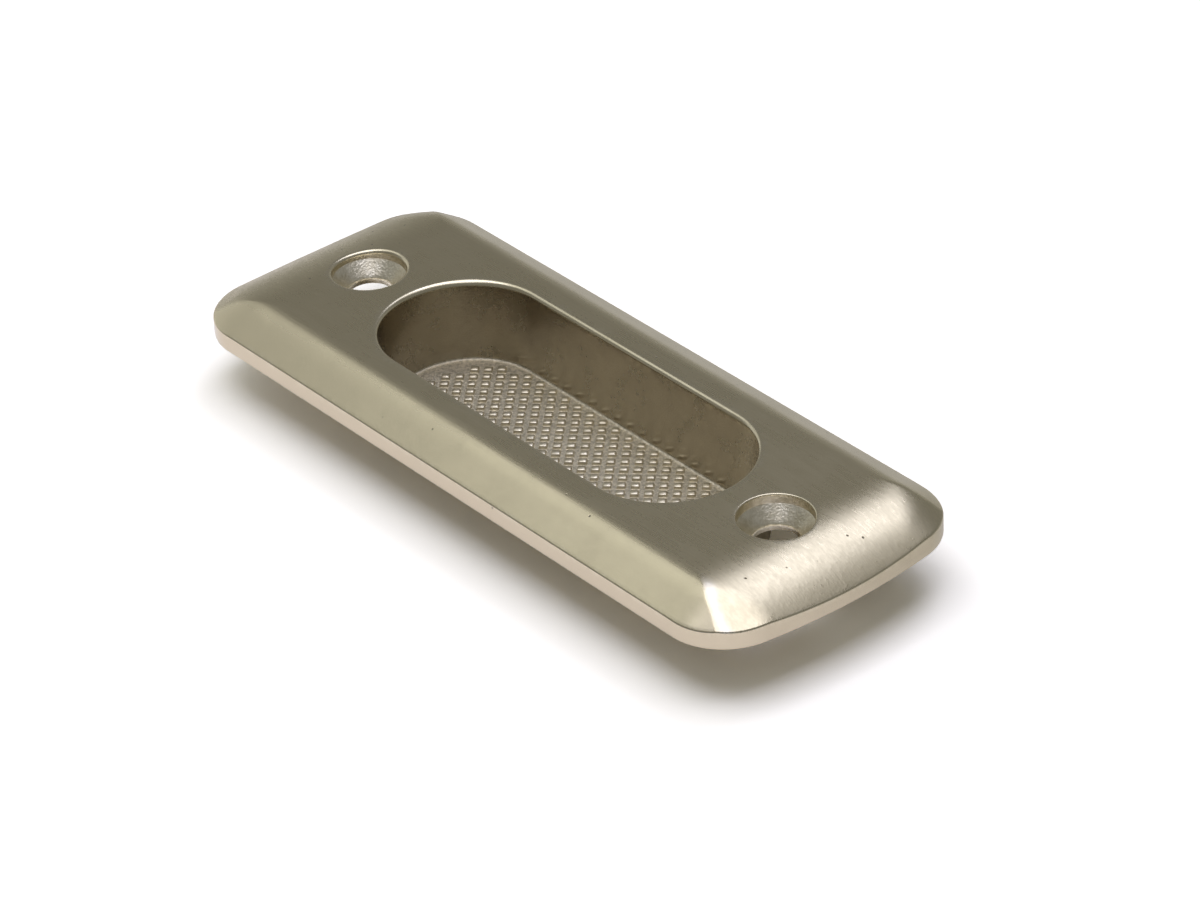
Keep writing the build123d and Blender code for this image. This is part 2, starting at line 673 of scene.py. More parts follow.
@dataclass(frozen=True)
class ScrewSeat:
    """Seat for a countersunk screw: rounded lip, shallow recess, cone and plain hole."""

    place: float
    recess_diameter: float = 8.1
    recess_depth: float = 1.1
    cone_angle: float = 90.0
    hole_diameter: float = 4.9
    hole_depth: float = 0.6
    lip_radius: float = 0.4
    hole_edge: float = 0.12
    top: float = FACE_LEVEL
    # Points and rows of the mesh, shares of the cone's height, and the strip beyond the lip
    points: int = 112
    lip_rows: int = 8
    cone_shares: tuple[float, ...] = (0.25, 0.5, 0.75)
    hole_rows: int = 3
    lip_margin: float = 0.25

    @property
    def throat(self) -> float:
        """Level at which the cone meets the hole."""
        narrowing = (self.recess_diameter - self.hole_diameter) / 2
        return self.top - self.recess_depth - narrowing / tan(radians(self.cone_angle / 2))

    @property
    def back(self) -> float:
        """Level of the boss's back, where the hole ends."""
        return self.throat - self.hole_depth

    def loop(self) -> Loop:
        """Axis of the seat as a loop without width."""
        return arc((self.place, 0), 0, 0, 360, self.points)

    def rows(self, surface: Height) -> tuple[list[Array], list[Array]]:
        """Rows of the seat.

        Args:
            surface: Upper surface of the plate.

        Returns:
            The rows of the lip, from the plate's surface, and the rows of the seat down to the back.
        """
        loop = self.loop()
        head = self.recess_diameter / 2
        hole = self.hole_diameter / 2
        size = self.lip_radius

        def draped(radius: float, drop: float) -> Array:
            """Row at a fixed depth below the plate's surface."""
            plan = loop.offset(radius)
            return loop.row(radius, surface(plan[:, 0], plan[:, 1]) - drop)

        lip = [draped(head + size + self.lip_margin, 0)]
        for turn in np.linspace(0, pi / 2, self.lip_rows):
            lip.append(draped(head + size * (1 - sin(turn)), size * (1 - cos(turn))))
        seat = self.top - self.recess_depth
        throat = self.throat
        edge = self.hole_edge
        edge_slope = 0.3
        depths = [lip[-1], loop.row(head, seat)]
        for share in self.cone_shares:
            depths.append(loop.row(head + share * (hole - head), seat + share * (throat - seat)))
        depths.append(loop.row(hole + edge, throat + edge))
        depths.append(loop.row(hole + edge_slope * edge, throat))
        levels = np.linspace(throat - edge, self.back, self.hole_rows)
        depths += [loop.row(hole, level) for level in levels]
        return lip, depths


@dataclass(frozen=True)
class HollowBack:
    """Underside of the casting: hollow flange, bosses with webs behind the seats, outside of the cup."""

    flange: Flange
    cup: FingerCup
    seats: tuple[ScrewSeat, ...]
    boss_wall: float = 1.7
    # Points and rows of the mesh, and spacing of the points in its level faces
    joint_points: int = 40
    flank_points: int = 32
    run_points: int = 48
    web_points: int = 16
    boss_points: int = 56
    rim_rows: int = 3
    web_rows: int = 4
    cup_rows: int = 9
    base_rows: int = 8
    spacing: tuple[float, float, float] = (0.9, 0.8, 0.5)
    base_spacing: tuple[float, float, float] = (1.2, 1.0, 0.6)

    @property
    def boss(self) -> float:
        """Radius of a boss and half the width of its web."""
        return self.seats[0].recess_diameter / 2 + self.boss_wall

    @property
    def pad(self) -> float:
        """Level of the bosses' and webs' backs."""
        return self.seats[0].back

    def cup_reach(self, level: float) -> float:
        """Half width of the cup's outside.

        Args:
            level: Level along Z.

        Returns:
            The half width at that level.
        """
        rise = tan(radians(self.cup.draft_angle))
        floor = self.cup.reach(self.cup.floor) + self.cup.wall
        return floor + (level - self.cup.floor + self.cup.wall) * rise

    def around(self, level: float) -> list[tuple[Loop, Loop]]:
        """Outside of the cup at a level, cut where the webs join it.

        Args:
            level: Level along Z.

        Returns:
            For each end, right and then left, the arc between the webs' sides and the run that follows.
        """
        half = self.cup.half_run
        reach = self.cup_reach(level)
        joint = np.degrees(asin(self.boss / reach))
        ends = []
        for turn in (0, 180):
            x = half if turn == 0 else -half
            end = arc((x, 0), reach, turn - joint, turn + joint, self.joint_points)
            y = reach if turn == 0 else -reach
            flank = joined(
                arc((x, 0), reach, turn + joint, turn + 90, self.flank_points),
                line((x, y), (-x, y), self.run_points),
                arc((-x, 0), reach, turn + 90, turn + 180 - joint, self.flank_points),
            )
            ends.append((end, flank))
        return ends

    def web(self, seat: ScrewSeat, level: float) -> Loop:
        """Draws the sides of a web and the round of its boss.

        Args:
            seat: The seat that the boss is behind.
            level: Level along Z.

        Returns:
            The line from one side of the cup's end to the other.
        """
        side = 1 if seat.place > 0 else -1
        reach = self.cup_reach(level)
        foot = side * (self.cup.half_run + sqrt(reach**2 - self.boss**2))
        width = side * self.boss
        start = 0 if side > 0 else 180
        return joined(
            line((foot, -width), (seat.place, -width), self.web_points),
            arc((seat.place, 0), self.boss, start - 90, start + 90, self.boss_points),
            line((seat.place, width), (foot, width), self.web_points),
        )

    def build(self, skin: Skin, outline: Loop) -> None:
        """Adds the underside's faces.

        Args:
            skin: The casting's skin.
            outline: Outline of the plate.
        """
        ceiling = self.flange.surface(self.flange.wall)
        inset = self.flange.wall
        plan = outline.offset(-inset)
        top = ceiling(plan[:, 0], plan[:, 1])
        insets = np.linspace(self.flange.back_edge_radius, inset, self.rim_rows)
        skin.strip([outline.row(-distance, 0) for distance in insets], Zone.BACK)
        shares = np.linspace(0, 1, self.rim_rows)
        skin.strip([outline.row(-inset, share * top) for share in shares], Zone.BACK)
        level = self.flange.height - self.flange.wall
        hull = self._hull(level)
        foot = self._hull(self.pad)
        tops = ceiling(hull[:, 0], hull[:, 1])
        walls = []
        for share in np.linspace(0, 1, self.web_rows):
            flat = foot + share * (hull - foot)
            walls.append(np.column_stack([flat, self.pad + share * (tops - self.pad)]))
        skin.strip(walls, Zone.BACK)
        skin.sheet([plan, hull], filling([plan, hull], *self.spacing), ceiling, Zone.BACK)
        self._pads(skin)
        self._shell(skin)

    def _hull(self, level: float) -> Array:
        """Joins the webs, the bosses and the flanks of the cup.

        Args:
            level: Level along Z.

        Returns:
            The points of the loop at that level.
        """
        pieces = []
        for (_, flank), seat in zip(self.around(level), self.seats):
            pieces += [self.web(seat, level), flank]
        return joined(*pieces).points

    def _pads(self, skin: Skin) -> None:
        """Adds the level backs of the bosses and webs, with the screw holes in them.

        Args:
            skin: The casting's skin.
        """
        for (end, flank), seat in zip(self.around(self.pad), self.seats):
            web = self.web(seat, self.pad).points
            border = np.vstack([web, flank.points[:1], end.points[:0:-1]])
            loops = [border, seat.loop().offset(seat.hole_diameter / 2)]
            skin.sheet(loops, filling(loops, *self.spacing), level_face(self.pad), Zone.BACK)

    def _shell(self, skin: Skin) -> None:
        """Adds the outside of the cup below the plate.

        Args:
            skin: The casting's skin.
        """
        draft = radians(self.cup.draft_angle)
        bottom = self.cup.floor - self.cup.wall
        size = self.cup.base_radius
        centre = self.cup_reach(bottom + size) - size / cos(draft)
        start = bottom + size * (1 - sin(draft))

        def ring(reach: float, level: float) -> Array:
            """Outside of the cup at a level, moved to a half width."""
            loop = joined(*[part for end in self.around(self.pad) for part in end])
            return loop.row(reach - self.cup_reach(self.pad), level)

        levels = np.linspace(self.pad, start, self.cup_rows)
        rows = [ring(self.cup_reach(level), level) for level in levels]
        for turn in np.linspace(draft, pi / 2, self.base_rows)[1:]:
            rows.append(ring(centre + size * cos(turn), bottom + size * (1 - sin(turn))))
        skin.strip(rows, Zone.BACK)
        border = rows[-1][:, :2]
        skin.sheet([border], filling([border], *self.base_spacing), level_face(bottom), Zone.BACK)


class Wiring:
    """Adds nodes to a tree and links them, so that a tree reads as a list of steps."""

    def __init__(self, tree: bpy.types.NodeTree) -> None:
        """Keeps the tree."""
        self.tree = tree

    @classmethod
    def fresh(cls, owner: Any) -> "Wiring":
        """Starts the nodes of a material or a world.

        Args:
            owner: The material or the world.

        Returns:
            Wiring for its emptied tree.
        """
        owner.use_nodes = True
        owner.node_tree.nodes.clear()
        return cls(owner.node_tree)

    def add(self, kind: str, inputs: dict[str | int, Any] | None = None, **settings: Any) -> bpy.types.Node:
        """Adds a node.

        Args:
            kind: The node's type.
            inputs: For each input, by name or number, a value or the output that feeds it.
            **settings: The node's own settings.

        Returns:
            The node.
        """
        node = self.tree.nodes.new(kind)
        for name, value in settings.items():
            setattr(node, name, value)
        for key, value in (inputs or {}).items():
            self.feed(node.inputs[key], value)
        return node

    def feed(self, socket: bpy.types.NodeSocket, value: Any) -> None:
        """Sets an input, or links the output that feeds it.

        Args:
            socket: The input.
            value: A value or the output that feeds it.
        """
        if isinstance(value, bpy.types.NodeSocket):
            self.tree.links.new(value, socket)
        else:
            socket.default_value = value

    def math(self, operation: str, *values: Any, clamp: bool = False) -> bpy.types.NodeSocket:
        """Adds a Math node.

        Args:
            operation: The operation's name.
            *values: Numbers or outputs.
            clamp: Whether the result is kept between 0 and 1.

        Returns:
            The node's output.
        """
        node = self.add("ShaderNodeMath", dict(enumerate(values)), operation=operation, use_clamp=clamp)
        return node.outputs[0]

    def ramp(self, value: Any, low: float, high: float, start: float = 0.0, stop: float = 1.0) -> Any:
        """Maps a value from low to high onto start to stop, smoothly and within those ends.

        Args:
            value: The output to map.
            low: Value that gives start.
            high: Value that gives stop.
            start: First result.
            stop: Last result.

        Returns:
            The node's output.
        """
        node = self.add("ShaderNodeMapRange", dict(enumerate((value, low, high, start, stop))))
        node.interpolation_type = "SMOOTHSTEP"
        return node.outputs[0]

    def mix(self, share: Any, first: Any, second: Any) -> bpy.types.NodeSocket:
        """Mixes two colours.

        Args:
            share: Share of the second colour.
            first: First colour or the output that gives it.
            second: Second colour or the output that gives it.

        Returns:
            The node's output.
        """
        inputs = {0: share, 6: first, 7: second}
        return self.add("ShaderNodeMix", inputs, data_type="RGBA").outputs[2]

    def noise(self, vector: Any, scale: Any, detail: float, roughness: float = 0.5) -> Any:
        """Adds a Noise texture.

        Args:
            vector: Where it is read.
            scale: Waves per metre, where vector is in metres.
            detail: Number of finer layers.
            roughness: Strength of the finer layers.

        Returns:
            The node's value.
        """
        inputs = {"Vector": vector, "Scale": scale, "Detail": detail, "Roughness": roughness}
        return self.add("ShaderNodeTexNoise", inputs).outputs[0]

    def stretched(self, vector: Any, scale: Any) -> bpy.types.NodeSocket:
        """Scales a vector by three factors."""
        return self.add("ShaderNodeVectorMath", {0: vector, 1: scale}, operation="MULTIPLY").outputs[0]

    def vector(self, x: Any = 0.0, y: Any = 0.0, z: Any = 0.0) -> bpy.types.NodeSocket:
        """Makes a vector from its three parts."""
        return self.add("ShaderNodeCombineXYZ", {0: x, 1: y, 2: z}).outputs[0]

    def axes(self, vector: Any) -> Any:
        """Takes a vector apart along X, Y and Z."""
        return self.add("ShaderNodeSeparateXYZ", {0: vector}).outputs

    def mark(self, name: str) -> bpy.types.NodeSocket:
        """Reads a value that the mesh stores at its points."""
        return self.add("ShaderNodeAttribute", attribute_name=name).outputs["Fac"]

    def effect(self, tree: bpy.types.NodeTree, **inputs: Any) -> Any:
        """Adds a node group with its named inputs and gives its outputs."""
        return self.add("ShaderNodeGroup", inputs, node_tree=tree).outputs


class Effects:
    """Shader node groups that the finishes share."""

    def __init__(self) -> None:
        """Builds each group once."""
        self.brushing = self._brushing()
        self.casting_grain = self._casting_grain()
        self.tarnish = self._tarnish()
        self.edge_wear = self._edge_wear()

    @staticmethod
    def _group(name: str, inputs: dict[str, Any], outputs: list[str]) -> tuple[Wiring, Any, Any]:
        """Starts a node group.

        Args:
            name: The group's name.
            inputs: Named inputs, each with its default, or None for a vector.
            outputs: Named outputs.

        Returns:
            The group's wiring and its input and output nodes.
        """
        tree = bpy.data.node_groups.new(name, "ShaderNodeTree")
        for label, default in inputs.items():
            kind = "NodeSocketVector" if default is None else "NodeSocketFloat"
            socket = tree.interface.new_socket(label, in_out="INPUT", socket_type=kind)
            if default is not None:
                socket.default_value = default
        for label in outputs:
            tree.interface.new_socket(label, in_out="OUTPUT", socket_type="NodeSocketFloat")
        wiring = Wiring(tree)
        return wiring, wiring.add("NodeGroupInput"), wiring.add("NodeGroupOutput")

    def _brushing(self) -> bpy.types.NodeTree:
        """Makes fine straight scratches along X, in bundles of uneven depth.

        Returns:
            The node group.
        """
        wiring, start, stop = self._group(
            "brushed_lines", {"Vector": None, "Across": 4500.0, "Along": 250.0}, ["Height", "Streak"]
        )
        given = start.outputs
        across = given["Across"]
        scale = wiring.vector(given["Along"], across, across)
        broad_scale = wiring.stretched(scale, (0.5, 0.5, 0.5))
        fine = wiring.noise(
            wiring.stretched(given["Vector"], scale), scale=1.0, detail=3.0, roughness=0.65
        )
        broad = wiring.noise(wiring.stretched(given["Vector"], broad_scale), scale=1.0, detail=2.0)
        bundles = wiring.ramp(broad, low=0.25, high=0.75, start=0.35)
        streak = wiring.ramp(wiring.math("ADD", fine, broad), low=0.7, high=1.3)
        wiring.feed(stop.inputs["Height"], wiring.math("MULTIPLY", fine, bundles))
        wiring.feed(stop.inputs["Streak"], streak)
        return wiring.tree

    def _casting_grain(self) -> bpy.types.NodeTree:
        """Makes the rough skin of a casting, and sparse pits in it.

        Returns:
            The node group.
        """
        wiring, start, stop = self._group(
            "casting_grain",
            {"Vector": None, "Grain": 3000.0, "Pits": 900.0, "Spread": 0.5},
            ["Height", "Pit"],
        )
        given = start.outputs
        grain = wiring.noise(given["Vector"], given["Grain"], detail=3.0, roughness=0.6)
        cells = wiring.add("ShaderNodeTexVoronoi", {"Vector": given["Vector"], "Scale": given["Pits"]})
        spot = wiring.ramp(cells.outputs["Distance"], low=0.05, high=0.16, start=1.0, stop=0.0)
        pick = wiring.add("ShaderNodeSeparateColor", {0: cells.outputs["Color"]})
        rare = wiring.math("LESS_THAN", pick.outputs[0], given["Spread"])
        wiring.feed(stop.inputs["Height"], grain)
        wiring.feed(stop.inputs["Pit"], wiring.math("MULTIPLY", spot, rare))
        return wiring.tree

    def _tarnish(self) -> bpy.types.NodeTree:
        """Makes the cloudy unevenness of the plating.

        Returns:
            The node group.
        """
        wiring, start, stop = self._group("plating_clouds", {"Vector": None, "Scale": 90.0}, ["Cloud"])
        given = start.outputs
        cloud = wiring.noise(given["Vector"], given["Scale"], detail=6.0, roughness=0.72)
        wiring.feed(stop.inputs["Cloud"], wiring.ramp(cloud, low=0.32, high=0.68))
        return wiring.tree

    def _edge_wear(self) -> bpy.types.NodeTree:
        """Makes bright rubbed edges, broken up along their length.

        Returns:
            The node group.
        """
        wiring, start, stop = self._group(
            "rubbed_edges", {"Vector": None, "Edge": 0.0, "Scale": 500.0}, ["Rub"]
        )
        given = start.outputs
        patches = wiring.noise(given["Vector"], given["Scale"], detail=3.0)
        broken = wiring.ramp(patches, low=0.3, high=0.6, start=0.35)
        wiring.feed(stop.inputs["Rub"], wiring.math("MULTIPLY", given["Edge"], broken))
        return wiring.tree


@dataclass(frozen=True)
class NickelFinish:
    """One finish of the nickel plating, from its colours to the depth of its grain."""

    name: str
    shade: Colour
    light: Colour
    roughness: float
    roughness_spread: float = 0.06
    brushing: float = 0.0
    streaks: float = 0.0
    grain: float = 0.0
    grain_scale: float = 3000.0
    pits: float = 0.0
    pit_spread: float = 0.05
    roll_pits: float = 0.0
    cloud_scale: float = 90.0
    # Colours of rubbed edges, of the painted highlight at the crease and of pits, and depths of the relief
    rubbed_tone: Colour = (0.76, 0.69, 0.53)
    painted_highlight_tone: Colour = (0.82, 0.80, 0.75)
    pit_tone: Colour = (0.10, 0.085, 0.06)
    pit_depth: float = 1.5
    relief_depth: float = 0.00002
    # Shares of the brushing, of the mottling and of the roughness that polish takes away
    polish_brushing: float = 0.85
    polish_mottling: float = 0.65
    polish_roughness: float = 0.15

    def material(self, effects: Effects) -> bpy.types.Material:
        """Builds the finish as a procedural material.

        Args:
            effects: The shared node groups.

        Returns:
            The material.
        """
        material = bpy.data.materials.new(self.name)
        wiring = Wiring.fresh(material)
        place = wiring.add("ShaderNodeTexCoord").outputs["Object"]
        edge = wiring.mark("edge_wear")
        polish = wiring.math("MAXIMUM", wiring.mark("polish"), edge)
        spread = wiring.math("MULTIPLY_ADD", wiring.mark("roll"), self.roll_pits, self.pit_spread)
        lines = wiring.effect(effects.brushing, Vector=place)
        skin = wiring.effect(effects.casting_grain, Vector=place, Grain=self.grain_scale, Spread=spread)
        clouds = wiring.effect(effects.tarnish, Vector=place, Scale=self.cloud_scale)
        rubbed = wiring.effect(effects.edge_wear, Vector=place, Edge=edge)

        pit = wiring.math("MULTIPLY", skin["Pit"], self.pits)
        lost = wiring.math("MULTIPLY", polish, self.polish_brushing)
        unpolished = wiring.math("SUBTRACT", 1.0, lost)
        share = wiring.math("MULTIPLY", unpolished, self.streaks)
        blend = wiring.add("ShaderNodeMix", {0: share, 2: clouds["Cloud"], 3: lines["Streak"]})
        calm = wiring.math("MULTIPLY", polish, self.polish_mottling)
        even = 0.5
        mottle = wiring.add("ShaderNodeMix", {0: calm, 2: blend.outputs[0], 3: even}).outputs[0]
        tone = wiring.mix(mottle, (*self.shade, 1), (*self.light, 1))
        tone = wiring.mix(rubbed["Rub"], tone, (*self.rubbed_tone, 1))
        # Painted highlight: a lighter colour along the crisp crease at the right near corner
        tone = wiring.mix(wiring.mark("bright"), tone, (*self.painted_highlight_tone, 1))
        tone = wiring.mix(pit, tone, (*self.pit_tone, 1))
        dull = wiring.math("SUBTRACT", 1.0, wiring.math("MULTIPLY", polish, self.polish_roughness))
        rough = wiring.ramp(mottle, 0, 1, self.roughness + self.roughness_spread, self.roughness)
        rough = wiring.math("MULTIPLY", rough, dull, clamp=True)
        relief = wiring.math("MULTIPLY", lines["Height"], self.brushing)
        relief = wiring.math("MULTIPLY", relief, unpolished)
        relief = wiring.math("MULTIPLY_ADD", skin["Height"], self.grain, relief)
        relief = wiring.math("MULTIPLY_ADD", pit, -self.pit_depth, relief)
        bump = wiring.add("ShaderNodeBump", {
            "Strength": 1.0, "Distance": self.relief_depth, "Height": relief,
        })
        shader = wiring.add("ShaderNodeBsdfPrincipled", {
            "Base Color": tone, "Metallic": 1.0, "Roughness": rough, "Normal": bump.outputs[0],
        })
        wiring.add("ShaderNodeOutputMaterial", {"Surface": shader.outputs[0]})
        return material


FINISHES: dict[Zone, NickelFinish] = {
    Zone.CROWN: NickelFinish(
        "brushed_nickel", (0.595, 0.53, 0.375), (0.725, 0.645, 0.46), 0.26, roughness_spread=0.08,
        brushing=0.5, streaks=0.42, grain=0.12, pits=0.9, pit_spread=0.04, roll_pits=0.12,
    ),
    Zone.RIM: NickelFinish(
        "polished_nickel_rim", (0.64, 0.565, 0.41), (0.70, 0.62, 0.455), 0.2, grain=0.15, pits=0.8,
        pit_spread=0.03,
    ),
    Zone.CUP: NickelFinish(
        "cup_wall_nickel", (0.49, 0.44, 0.345), (0.55, 0.49, 0.385), 0.22, grain=0.6, grain_scale=4200.0,
        pits=0.25, cloud_scale=260.0,
    ),
    Zone.FLOOR: NickelFinish(
        "cast_floor_nickel", (0.40, 0.365, 0.275), (0.80, 0.725, 0.57), 0.42, grain=4.5, grain_scale=6000.0,
        cloud_scale=2200.0,
    ),
    Zone.SEAT: NickelFinish(
        "screw_seat_nickel", (0.68, 0.62, 0.47), (0.94, 0.88, 0.73), 0.28, grain=2.2, grain_scale=3800.0,
        cloud_scale=900.0,
    ),
    Zone.BACK: NickelFinish(
        "cast_back_nickel", (0.36, 0.315, 0.22), (0.48, 0.425, 0.30), 0.5, grain=1.6, grain_scale=2200.0,
    ),
}
STUD_FINISH = NickelFinish(
    "grip_stud_nickel", (0.66, 0.60, 0.46), (0.84, 0.77, 0.61), 0.36, grain=1.2, grain_scale=4600.0,
    cloud_scale=700.0,
)


@dataclass(frozen=True)
class Casting:
    """The pull without its grip studs: one closed skin over plate, cup, seats and hollow back."""

    flange: Flange
    cup: FingerCup
    seats: tuple[ScrewSeat, ...]
    weld: float = 0.002
    sharp_angle: float = 32.0
    floor_spacing: tuple[float, float, float] = (0.8, 0.7, 0.4)
    crown_spacing: tuple[float, float, float] = (0.55, 0.35, 0.25)
    # Wear of the rim's edge, of the lips and of the cup's foot
    rim_wear: float = 0.5
    lip_wear: float = 0.6
    foot_wear: float = 0.2
    # Height of the seam between bevel and roll, slopes over which polish sets in, length of the roll's start
    seam: float = 0.1
    polish_start: float = 0.1
    polish_run: float = 0.45
    roll_run: float = 4.0
    # Painted highlight beside the crisp crease, where the bevel's surface passes above the roll by about the
    # gap:
    # strength at its middle, distance from the middle line at which it starts, and share of the highlight's
    # tone
    patch_gap: float = 0.2
    patch_peak: float = 1.1
    patch_start: float = 11.8
    patch_run: float = 0.8
    painted_highlight_share: float = 0.6

    def build(self) -> bpy.types.Object:
        """Makes the casting's mesh.

        Returns:
            The casting as an object at the origin.
        """
        skin = Skin()
        surface = self.flange.surface()
        outline = self.flange.outline()
        upper, band = self.flange.rim_rows(outline)
        edge = len(self.flange.rim_insets)
        skin.strip(upper[:edge + 1], Zone.CROWN)
        skin.strip(upper[edge:], Zone.CROWN, self.rim_wear)
        skin.strip(band, Zone.RIM)
        lip, wall, rounded = self.cup.inner_rows()
        skin.strip(lip, Zone.CROWN, self.lip_wear)
        skin.strip(wall, Zone.CUP)
        skin.strip(rounded, Zone.FLOOR, self.foot_wear)
        floor = [rounded[-1][:, :2]]
        skin.sheet(floor, filling(floor, *self.floor_spacing), level_face(self.cup.floor), Zone.FLOOR)
        loops = [upper[0][:, :2], lip[0][:, :2]]
        for seat in self.seats:
            seat_lip, depths = seat.rows(surface)
            skin.strip(seat_lip, Zone.CROWN, self.lip_wear)
            skin.strip(depths, Zone.SEAT)
            loops.append(seat_lip[0][:, :2])
        creases = self.flange.along_creases(loops[0])
        skin.sheet(loops, filling(loops, *self.crown_spacing, creases), surface, Zone.CROWN)
        HollowBack(self.flange, self.cup, self.seats).build(skin, outline)
        mesh = skin.mesh("casting", self.weld, self.sharp_angle)
        self._mark_surfaces(mesh)
        return linked("casting", mesh)

    def _mark_surfaces(self, mesh: bpy.types.Mesh) -> None:
        """Stores how far each point lies on a bevel, on a rolled end and in the painted highlight beside the
        crisp crease.

        Args:
            mesh: The casting's mesh.
        """
        probe = 0.05
        skin_depth = 0.1
        places = np.empty(3 * len(mesh.vertices))
        mesh.vertices.foreach_get("co", places)
        x, y, z = places.reshape(-1, 3).T / MM
        sides, ends = self.flange.surfaces()
        slope = np.abs(sides(x, y + probe) - sides(x, y - probe)) / (2 * probe)
        gap = sides(x, y) - ends(x, y)
        on_bevel = np.clip(0.5 - gap / self.seam, 0, 1)
        beside = np.clip(self.patch_peak - np.abs(gap - self.patch_gap) / self.patch_gap, 0, 1)
        at_corner = (x > 0) * np.clip((-y - self.patch_start) / self.patch_run, 0, 1)
        on_crown = np.abs(z - self.flange.surface()(x, y)) < skin_depth
        on_roll = np.clip((np.abs(x) - self.flange.roll_start) / self.roll_run, 0, 1)
        shares = {
            # Painted highlight: share of the lighter colour beside the crisp crease
            "bright": self.painted_highlight_share * beside * at_corner * on_crown,
            "polish": on_bevel * np.clip((slope - self.polish_start) / self.polish_run, 0, 1),
            "roll": (1 - on_bevel) * on_roll,
        }
        for name, share in shares.items():
            mesh.attributes.new(name, "FLOAT", "POINT").data.foreach_set("value", share)

    def dress(self, piece: bpy.types.Object, effects: Effects) -> None:
        """Gives each zone its finish and puts the piece in the node's place.

        Args:
            piece: The casting.
            effects: The shared node groups.
        """
        for zone in Zone:
            piece.data.materials.append(FINISHES[zone].material(effects))
        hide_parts(NODE)
        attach(piece, BODY)


@dataclass(frozen=True)
class GripStuds:
    """Grip studs on the cup's floor: square frusta on a lattice, both turned by 45 degrees."""

    # Sizes in millimetres; the tops are wider than the solid's, with a rounded edge and a low dome
    cup: FingerCup
    pitch: float = 1.5
    base: float = 1.0
    top: float = 0.76
    height: float = 0.35
    edge: float = 0.13
    dome: float = 0.07
    side_gap: float = 0.05
    end_gap: float = 1.2
    unevenness: float = 0.06
    sharp_angle: float = 35.0
    seed: int = 7

    def field(self, mouth: float, gap: float) -> float:
        """Size of the slot that the studs' middles stay in.

        Args:
            mouth: Length or width of the cup's mouth.
            gap: Least distance between a stud and the cup's rounded foot.

        Returns:
            The slot's length or width.
        """
        cup = self.cup
        inset = cup.mouth_width / 2 - cup.reach(cup.floor) + cup.floor_radius
        return mouth - 2 * (inset + gap + self.base / sqrt(2))

    def _tree(self) -> bpy.types.NodeTree:
        """Builds the node tree that lays out the studs.

        Returns:
            The tree, with named inputs for its sizes.
        """
        tree = bpy.data.node_groups.new("stud_lattice", "GeometryNodeTree")
        for label in ("Pitch", "Base", "Top", "Height", "Edge", "Dome", "Field Length", "Field Width",
                      "Floor", "Unevenness"):
            tree.interface.new_socket(label, in_out="INPUT", socket_type="NodeSocketFloat")
        tree.interface.new_socket("Seed", in_out="INPUT", socket_type="NodeSocketInt")
        tree.interface.new_socket("Material", in_out="INPUT", socket_type="NodeSocketMaterial")
        tree.interface.new_socket("Geometry", in_out="OUTPUT", socket_type="NodeSocketGeometry")
        wiring = Wiring(tree)
        given = wiring.add("NodeGroupInput").outputs
        points = self._lattice(wiring, given)
        stud = self._stud(wiring, given)
        spread = given["Unevenness"]
        least = wiring.math("SUBTRACT", 1.0, spread)
        most = wiring.math("ADD", 1.0, spread)
        chance = wiring.add("FunctionNodeRandomValue", {
            0: wiring.vector(least, least, least), 1: wiring.vector(most, most, most), "Seed": given["Seed"],
        }, data_type="FLOAT_VECTOR")
        placed = wiring.add("GeometryNodeInstanceOnPoints", {
            "Points": points, "Instance": stud, "Rotation": (0, 0, pi / 4), "Scale": chance.outputs[0],
        })
        real = wiring.add("GeometryNodeRealizeInstances", {"Geometry": placed.outputs[0]})
        dressed = wiring.add("GeometryNodeSetMaterial", {
            "Geometry": real.outputs[0], "Material": given["Material"],
        })
        wiring.add("NodeGroupOutput", {0: dressed.outputs[0]})
        return tree

    @staticmethod
    def _lattice(wiring: Wiring, given: Any) -> bpy.types.NodeSocket:
        """Adds the nodes that make the studs' places.

        Args:
            wiring: The tree's wiring.
            given: Outputs of the tree's input node.

        Returns:
            The output that carries the points.
        """
        step = wiring.math("DIVIDE", given["Pitch"], sqrt(2))
        sizes = {}
        for axis, label in (("X", "Field Length"), ("Y", "Field Width")):
            half = wiring.math("FLOOR", wiring.math("DIVIDE", wiring.math("DIVIDE", given[label], 2), step))
            steps = wiring.math("MULTIPLY", half, 2)
            sizes["Size " + axis] = wiring.math("MULTIPLY", steps, step)
            sizes["Vertices " + axis] = wiring.math("ADD", steps, 1)
        grid = wiring.add("GeometryNodeMeshGrid", sizes)
        axes = wiring.axes(wiring.add("GeometryNodeInputPosition").outputs[0])
        column = wiring.math("ROUND", wiring.math("DIVIDE", axes[0], step))
        row = wiring.math("ROUND", wiring.math("DIVIDE", axes[1], step))
        odd = wiring.math("FLOORED_MODULO", wiring.math("ADD", column, row), 2)
        run = wiring.math("SUBTRACT", given["Field Length"], given["Field Width"])
        half_run = wiring.math("DIVIDE", run, 2)
        past = wiring.math("MAXIMUM", wiring.math("SUBTRACT", wiring.math("ABSOLUTE", axes[0]), half_run), 0)
        away = wiring.math("SQRT", wiring.math("MULTIPLY_ADD", past, past, wiring.math("POWER", axes[1], 2)))
        outside = wiring.math("GREATER_THAN", away, wiring.math("DIVIDE", given["Field Width"], 2))
        drop = wiring.math("GREATER_THAN", wiring.math("ADD", odd, outside), 0.5)
        kept = wiring.add("GeometryNodeDeleteGeometry", {"Geometry": grid.outputs[0], "Selection": drop})
        moved = wiring.add("GeometryNodeSetPosition", {
            "Geometry": kept.outputs[0], "Offset": wiring.vector(z=given["Floor"]),
        })
        return moved.outputs[0]

